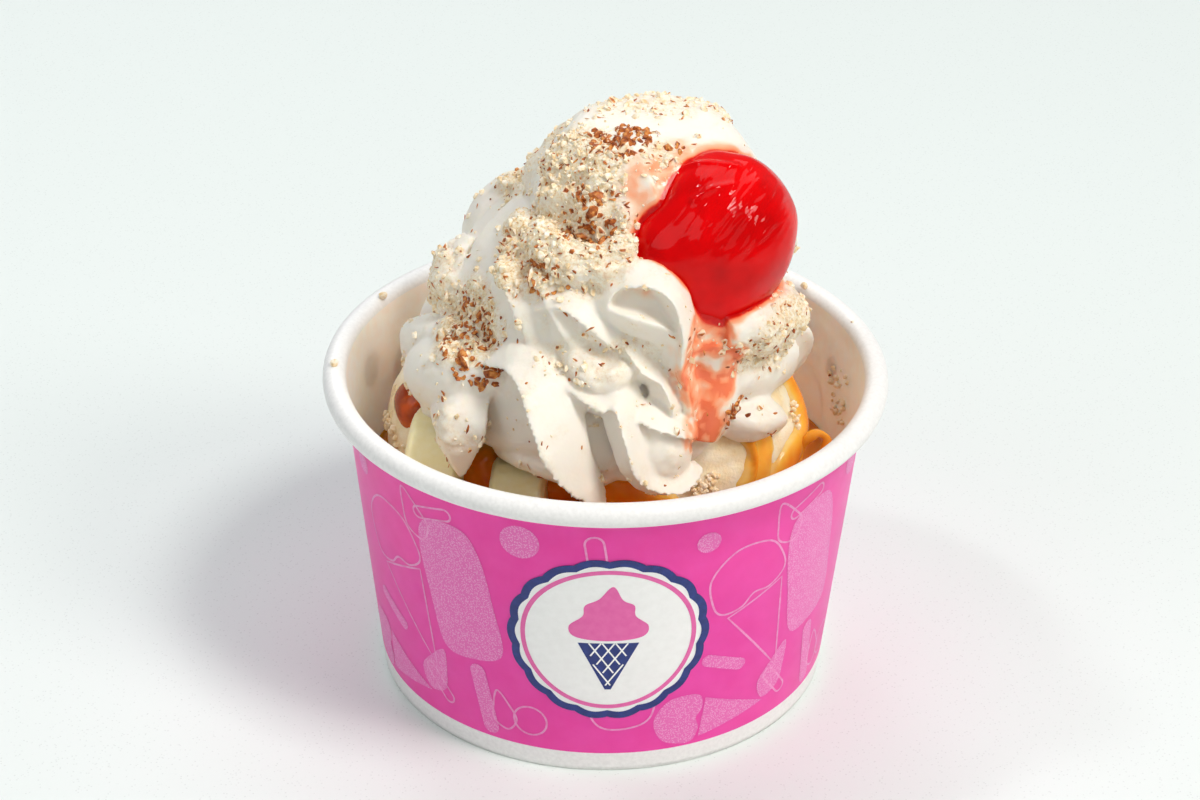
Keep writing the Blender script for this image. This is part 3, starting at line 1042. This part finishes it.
def chopping():
    """Geometry nodes that strew rough pieces over a surface, as thickly as one of its values says."""
    tree = bpy.data.node_groups.new("chopped nuts", "GeometryNodeTree")
    sockets = {}
    for label, kind in (
        ("Geometry", "Geometry"), ("Where", "String"), ("Density", "Float"), ("Least", "Float"),
        ("Length", "Float"), ("Width", "Float"), ("Thickness", "Float"), ("Skin from", "Float"),
        ("Skin to", "Float"), ("Seed", "Int"), ("Material", "Material"),
    ):
        sockets[label] = tree.interface.new_socket(label, in_out="INPUT", socket_type=f"NodeSocket{kind}")
    tree.interface.new_socket("Geometry", in_out="OUTPUT", socket_type="NodeSocketGeometry")
    given = tree.nodes.new("NodeGroupInput").outputs

    # points on the surface
    mask = add(tree, "GeometryNodeInputNamedAttribute", {"Name": given["Where"]}, data_type="FLOAT")
    floor = add(tree, "ShaderNodeMath", {0: mask, 1: given["Least"]}, operation="MAXIMUM")
    dense = add(tree, "ShaderNodeMath", {0: floor, 1: given["Density"]}, operation="MULTIPLY")
    spots = add(
        tree, "GeometryNodeDistributePointsOnFaces",
        {"Mesh": given["Geometry"], "Density": dense, "Seed": given["Seed"]},
    )

    # one piece, which knows its two sides
    grain = add(tree, "GeometryNodeMeshIcoSphere", {"Radius": 0.5, "Subdivisions": 1})
    split = add(tree, "ShaderNodeSeparateXYZ", {0: add(tree, "GeometryNodeInputPosition", {})})
    doubled = add(tree, "ShaderNodeMath", {0: split.outputs["Z"], 1: 2.0}, operation="MULTIPLY")
    sided = add(
        tree, "GeometryNodeStoreNamedAttribute", {"Geometry": grain, "Name": "side", "Value": doubled},
        data_type="FLOAT", domain="POINT",
    )

    # turned and sized at random, each with its own share of skin
    spin = add(
        tree, "FunctionNodeRandomValue", {"Min": (-0.9, -0.9, -3.14), "Max": (0.9, 0.9, 3.14), "Seed": 1},
        data_type="FLOAT_VECTOR",
    )
    turned_by = add(tree, "FunctionNodeEulerToRotation", {0: spin})
    turned_to = add(
        tree, "FunctionNodeRotateRotation",
        {"Rotation": spots.outputs["Rotation"], "Rotate By": turned_by}, rotation_space="LOCAL",
    )
    size = add(
        tree, "ShaderNodeCombineXYZ", {0: given["Length"], 1: given["Width"], 2: given["Thickness"]}
    )
    vary = add(
        tree, "FunctionNodeRandomValue", {"Min": (0.5, 0.6, 0.6), "Max": (1.4, 1.3, 1.3), "Seed": 2},
        data_type="FLOAT_VECTOR",
    )
    sized = add(tree, "ShaderNodeVectorMath", {0: size, 1: vary}, operation="MULTIPLY")
    pieces = add(
        tree, "GeometryNodeInstanceOnPoints",
        {"Points": spots, "Instance": sided, "Rotation": turned_to, "Scale": sized},
    )
    skin_share = add(
        tree, "FunctionNodeRandomValue", {2: given["Skin from"], 3: given["Skin to"], "Seed": 3},
        data_type="FLOAT",
    )
    marked = add(
        tree, "GeometryNodeStoreNamedAttribute",
        {"Geometry": pieces, "Name": "skin", "Value": skin_share.outputs[1]},
        data_type="FLOAT", domain="INSTANCE",
    )
    real = add(tree, "GeometryNodeRealizeInstances", {0: marked})

    # roughened by a noise as coarse as the piece is long
    rate = add(tree, "ShaderNodeMath", {0: 1.1, 1: given["Length"]}, operation="DIVIDE")
    rough = add(tree, "ShaderNodeTexNoise", {"Scale": rate, "Detail": 1.0})
    centred = add(
        tree, "ShaderNodeVectorMath", {0: rough.outputs["Color"], 1: (0.5, 0.5, 0.5)}, operation="SUBTRACT"
    )
    shift = add(tree, "ShaderNodeVectorMath", {0: centred, "Scale": given["Width"]}, operation="SCALE")
    broken = add(tree, "GeometryNodeSetPosition", {"Geometry": real, "Offset": shift})
    painted = add(
        tree, "GeometryNodeSetMaterial", {"Geometry": broken, "Material": given["Material"]}
    )
    feed(tree.nodes.new("NodeGroupOutput"), {0: painted})
    return tree, {label: socket.identifier for label, socket in sockets.items()}


chopper, inputs = chopping()


def strew(surface, where, density, least, size, skin_share, seed):
    """Pieces strewn over an object: density a square millimetre, and size in millimetres."""
    strewer = surface.modifiers.new("strewn", "NODES")
    strewer.node_group = chopper
    length, width, thickness = (s * MM for s in size)
    values = {
        "Where": where, "Density": density / MM**2, "Least": least, "Length": length, "Width": width,
        "Thickness": thickness, "Skin from": skin_share[0], "Skin to": skin_share[1], "Seed": seed,
        "Material": almond,
    }
    for label, value in values.items():
        strewer[inputs[label]] = value
    mesh = bpy.data.meshes.new_from_object(surface.evaluated_get(bpy.context.evaluated_depsgraph_get()))
    surface.modifiers.remove(strewer)
    return mesh


def crumb(bm, centre, size, rng):
    """One rough crumb, its centre in millimetres."""
    made = bmesh.ops.create_icosphere(bm, subdivisions=2, radius=size / 2 * MM)["verts"]
    shift = Vector([rng.uniform(0, 50) for _ in range(3)])
    for vert in made:
        vert.co = vert.co * (1 + 0.7 * noise.noise(vert.co / MM * 1.3 / size + shift)) + Vector(centre) * MM


# crumbs that fell on the rim, and others stuck to the wall in a smear of melted ice cream
RIM_CRUMBS = (
    ((-38.8, 21, 57.2), 1.3), ((-45.4, -2.6, 57.2), 1.5),
    ((34.6, 26.6, 57.2), 1.2), ((42.4, 14.6, 56.6), 0.9),
)
SMEAR_AZIMUTH, SMEAR_Z, SMEAR_CRUMBS = (9, 23), (38, 50), 24
# and others caught on the balls: centre, radius, azimuths, elevations, how many
CAUGHT = (
    (RIGHT_BALL, RIGHT_RADIUS, (271, 288), (-3, 11), 40),
    (RIGHT_BALL, RIGHT_RADIUS, (336, 352), (10, 30), 20),
    (LEFT_BALL, LEFT_RADIUS, (179, 216), (4, 14), 26),
)
rng = random.Random(21)
bm = bmesh.new()
for centre, size in RIM_CRUMBS:
    crumb(bm, centre, size, rng)
for _ in range(SMEAR_CRUMBS):
    a, z = math.radians(rng.triangular(*SMEAR_AZIMUTH)), rng.triangular(*SMEAR_Z)
    size = rng.uniform(0.4, 1.1)
    r = outer_radius(z) - WALL - size * 0.3
    crumb(bm, (r * math.cos(a), r * math.sin(a), z), size, rng)
for centre, radius, azimuths, elevations, count in CAUGHT:
    for _ in range(count):
        a, up = math.radians(rng.triangular(*azimuths)), math.radians(rng.triangular(*elevations))
        way = Vector((math.cos(a) * math.cos(up), math.sin(a) * math.cos(up), math.sin(up)))
        crumb(bm, centre + way * (radius + 0.3), rng.uniform(0.5, 1.3), rng)
fallen = to_mesh("almond_fallen", bm, (almond,))
tint(fallen, "skin", [0.12 + 0.5 * noise.noise(v.co / MM / 1.5) for v in fallen.vertices])
tint(fallen, "side", [noise.noise(v.co / MM / 0.8) for v in fallen.vertices])
finished("almond_fallen", fallen, smooth=False)

TOP = CAD_BOX[1][2] - 0.1 * MM
GRADES = [
    # name, where, density, least, length width thickness, share of skin
    ("almond_meal", "nutty", 1.2, 0.01, (0.55, 0.5, 0.45), (-0.3, 0.15)),
    ("almond_crumbs", "nutty", 0.32, 0.0, (1.4, 1.25, 1.1), (-0.3, 0.3)),
    ("almond_skins", "nutty", 0.3, 0.05, (1.4, 0.45, 0.22), (0.6, 1.1)),
    ("almond_chunks", "clumped", 0.16, 0.0, (2.6, 2.0, 1.5), (0.2, 0.9)),
    ("almond_clumps", "clumped", 1.0, 0.0, (1.5, 1.0, 0.7), (0.4, 1.1)),
]
for seed, (name, where, density, least, size, skin_share) in enumerate(GRADES, 4):
    mesh = strew(cream, where, density, least, size, skin_share, seed)
    for vert in mesh.vertices:
        vert.co.z = min(vert.co.z, TOP)
    finished(name, mesh, smooth=False)


# Stage: a pale speckled table top in a bright room, with a lamp at the right front, a smaller one at
# the left, a sunny window and soft light from the walls and the ceiling.
bpy.ops.mesh.primitive_plane_add(size=6)
floor = bpy.context.object
floor.name = "table_top"
speckled_top, tree, shader = material("pale speckled laminate", "e6ece9", 0.6)
coords = place(tree)
fine = add(tree, "ShaderNodeTexVoronoi", {"Vector": coords, "Scale": 1.2})
mask = add(tree, "ShaderNodeMapRange", {0: fine, 1: 0.08, 2: 0.22, 3: 0.4, 4: 0.0})
colour = add(tree, "ShaderNodeMix", {0: mask, 6: linear("e6ece9"), 7: linear("b8bebb")}, data_type="RGBA")
feed(shader, {"Base Color": colour.outputs[2]})
floor.data.materials.append(speckled_top)

FOCAL_PX, DISTANCE, ELEVATION, ROLL = 3250.5, 550.0, math.radians(30.43), math.radians(0.73)
AIM = Vector((-0.87, 0, 49.15))
back = Vector((0, -math.cos(ELEVATION), math.sin(ELEVATION)))
camera = bpy.data.objects.new("camera", bpy.data.cameras.new("camera"))
bpy.context.scene.collection.objects.link(camera)
camera.location = (AIM + back * DISTANCE) * MM
camera.rotation_mode = "QUATERNION"
camera.rotation_quaternion = (-back).to_track_quat("-Z", "Y") @ Quaternion((0, 0, 1), ROLL)
camera.data.sensor_width = 36
camera.data.lens = FOCAL_PX / 1200 * 36
camera.data.clip_start = 0.01
bpy.context.scene.camera = camera


def light(name, kind, place_m, towards, strength, colour):
    """A light at a place in metres, shining towards a direction; returns its settings."""
    settings = bpy.data.lights.new(name, kind)
    settings.energy, settings.color = strength, colour
    ob = bpy.data.objects.new(name, settings)
    bpy.context.scene.collection.objects.link(ob)
    ob.location = place_m
    ob.rotation_mode = "QUATERNION"
    ob.rotation_quaternion = towards.to_track_quat("-Z", "Y")
    return settings


MIDDLE = Vector((0, 0, 0.05))
for name, place_m, watts, size, colour in (
    ("lamp", (0.42, -0.28, 0.88), 4.4, 0.22, (1.0, 0.98, 0.95)),
    ("left lamp", (-0.5, 0.05, 0.9), 1.2, 0.1, (1.0, 0.98, 1.0)),
    ("back window", (-0.3, 0.9, 0.6), 0.9, 0.25, (0.9, 0.96, 1.0)),
    ("ceiling", (0, 0.7, 1.1), 5.6, 1.2, (0.93, 0.98, 1.0)),
    ("left wall", (-0.9, -0.7, 0.75), 2.4, 0.8, (0.92, 0.98, 1.0)),
    ("right wall", (0.35, -1.1, 0.75), 1.4, 0.8, (1.0, 0.97, 0.93)),
):
    light(name, "AREA", place_m, MIDDLE - Vector(place_m), watts, colour).size = size
sun = light("window", "SUN", (0, 0, 0), Vector((-0.68, 0.42, -0.6)), 0.85, (1.0, 0.95, 0.88))
sun.angle = math.radians(18)
world = bpy.data.worlds.new("room")
world.use_nodes = True
feed(world.node_tree.nodes["Background"], {"Color": (0.92, 0.97, 1.0, 1), "Strength": 0.2})
bpy.context.scene.world = world
bpy.context.scene.view_settings.view_transform = "Standard"
